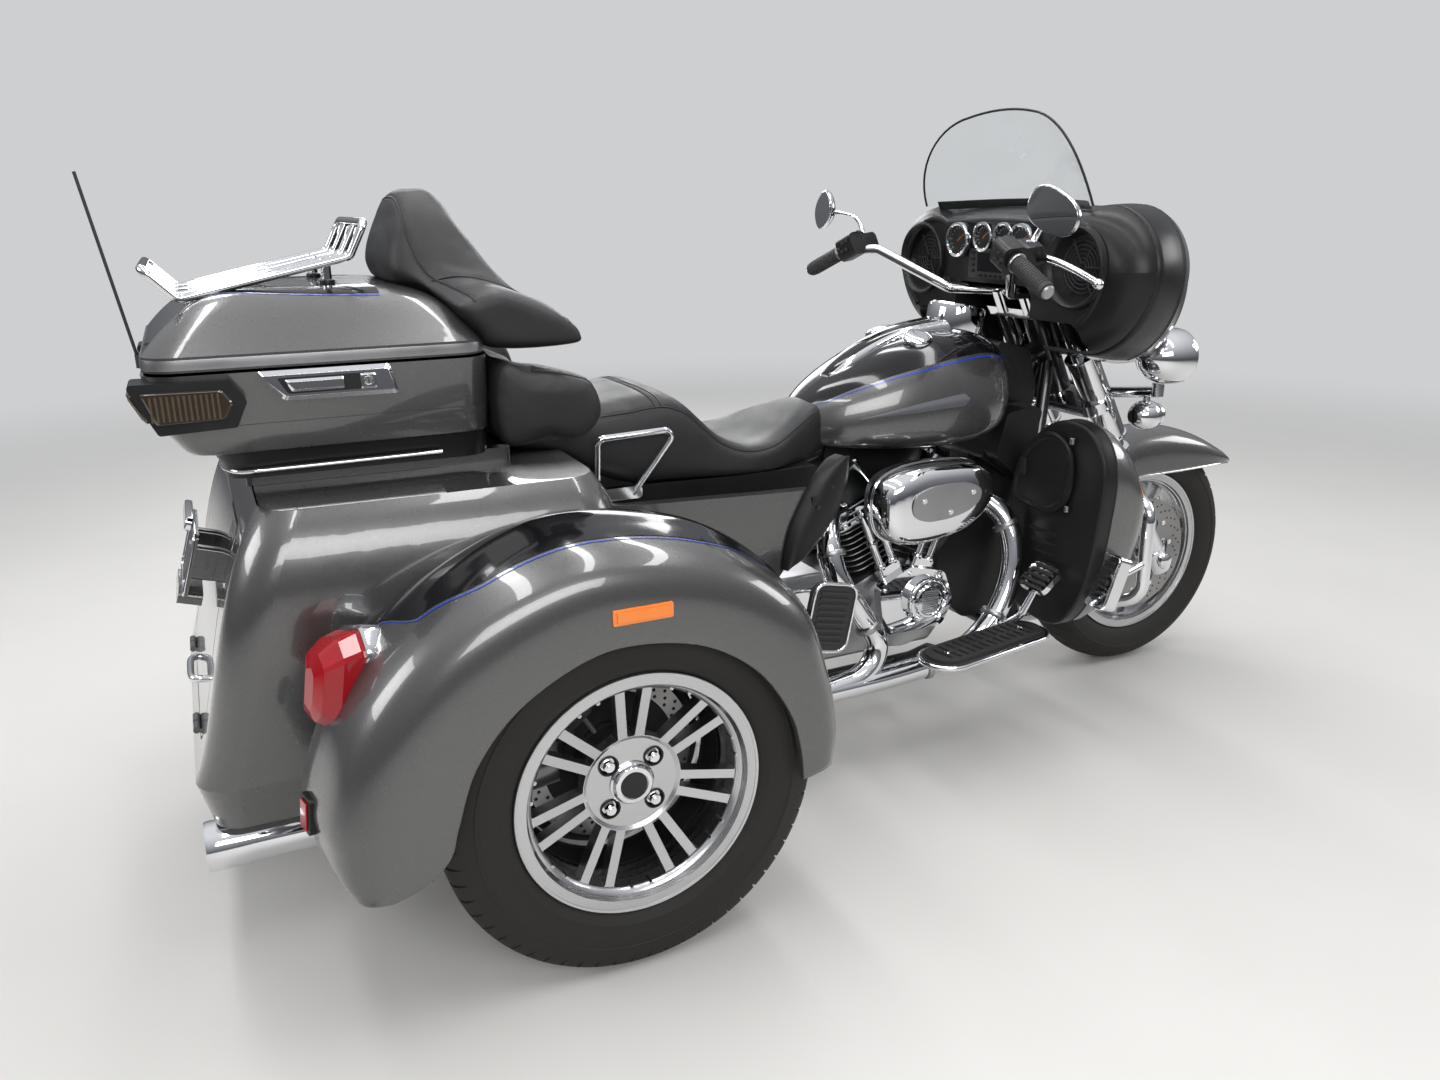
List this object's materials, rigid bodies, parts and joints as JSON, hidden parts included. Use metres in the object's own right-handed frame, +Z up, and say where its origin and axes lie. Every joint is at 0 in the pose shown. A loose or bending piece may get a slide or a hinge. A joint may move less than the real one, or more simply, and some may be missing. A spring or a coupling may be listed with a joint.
{
  "type": "touring trike",
  "caption": "Three-wheeled touring motorcycle with a steered front wheel, handlebar fairing, air-cooled twin engine, boot over the rear axle and a lidded top box.",
  "frame": {"origin": "middle of the bounding box on the ground", "axes": "+X forward, +Y to the rider's left, +Z up"},
  "size_m": [2.7185, 1.38, 1.4168],
  "materials": {
    "paint": "gunmetal metallic, clear coated",
    "frame_black": "gloss black powder coat",
    "chrome": "polished",
    "alloy": "machined and lacquered",
    "engine_black": "black with bright fin edges",
    "plastic": "fine textured black",
    "leather": "soft black",
    "tyre": "black rubber",
    "rubber": "black",
    "steel": "brushed",
    "red_lens": "red lens",
    "smoke_lens": "smoked lens",
    "screen": "clear acrylic"
  },
  "bodies": {
    "chassis": {"frame": "frame_black", "engine_cases": "alloy", "cylinders": "engine_black", "cylinder_heads": "chrome", "valve_gear": "chrome", "air_cleaner": "chrome", "drive_covers": "chrome", "exhaust": "chrome", "fuel_tank": "paint", "tank_console": "chrome", "seat": "leather", "grab_rails": "chrome", "side_covers": "paint", "air_deflectors": "plastic", "rear_axle": "frame_black", "drive_belt": "rubber", "boot_tub": "paint", "tail_lamps": "red_lens", "rear_fenders": "paint", "box_carrier": "frame_black", "box_lamps": "smoke_lens", "box_tub": "paint", "antenna": "plastic", "lower_backrest": "leather", "footboards": "rubber", "foot_controls": "chrome", "engine_guard": "chrome", "lower_fairings": "paint"},
    "front_end": {"fork": "chrome", "front_fender": "paint", "fairing_outer": "paint", "fairing_inner": "plastic", "windscreen": "screen", "headlamp": "chrome", "spot_lamps": "chrome", "lamp_bar": "chrome", "handlebar": "chrome", "grips": "rubber", "hand_controls": "plastic", "mirrors": "chrome"},
    "front_wheel": {"front_tyre": "tyre", "front_rim": "alloy", "front_discs": "steel"},
    "rear_wheel_right": {"rear_tyre_right": "tyre", "rear_rim_right": "alloy"},
    "rear_wheel_left": {"rear_tyre_left": "tyre", "rear_rim_left": "alloy"},
    "boot_door": {"boot_door": "paint"},
    "box_lid": {"box_lid": "paint", "luggage_rack": "chrome", "backrest": "leather"},
    "glove_door_right": {"glove_door_right": "plastic"},
    "glove_door_left": {"glove_door_left": "plastic"}
  },
  "joints": [
    {"name": "steering", "type": "hinge", "parent": "chassis", "child": "front_end", "pos_m": [0.68762, 0, 0.866], "axis": [-0.4384, 0, 0.8988], "range_deg": [-30, 30]},
    {"name": "front_wheel_spin", "type": "hinge", "parent": "front_end", "child": "front_wheel", "pos_m": [1.011, 0, 0.314], "axis": [0, 1, 0], "continuous": true},
    {"name": "rear_wheel_right_spin", "type": "hinge", "parent": "chassis", "child": "rear_wheel_right", "pos_m": [-0.659, -0.557, 0.32], "axis": [0, 1, 0], "continuous": true},
    {"name": "rear_wheel_left_spin", "type": "hinge", "parent": "chassis", "child": "rear_wheel_left", "pos_m": [-0.659, 0.557, 0.32], "axis": [0, 1, 0], "continuous": true},
    {"name": "boot_door_hinge", "type": "hinge", "parent": "chassis", "child": "boot_door", "pos_m": [-1.289, 0, 0.386], "axis": [0, -1, 0], "range_deg": [0, 80]},
    {"name": "box_lid_hinge", "type": "hinge", "parent": "chassis", "child": "box_lid", "pos_m": [-1.026, 0.302, 0.9845], "axis": [-1, 0, 0], "range_deg": [0, 70]},
    {"name": "glove_door_right_hinge", "type": "hinge", "parent": "chassis", "child": "glove_door_right", "pos_m": [0.4735, -0.34, 0.65], "axis": [0, 0, 1], "range_deg": [0, 33]},
    {"name": "glove_door_left_hinge", "type": "hinge", "parent": "chassis", "child": "glove_door_left", "pos_m": [0.4735, 0.34, 0.65], "axis": [0, 0, -1], "range_deg": [0, 75]}
  ]
}
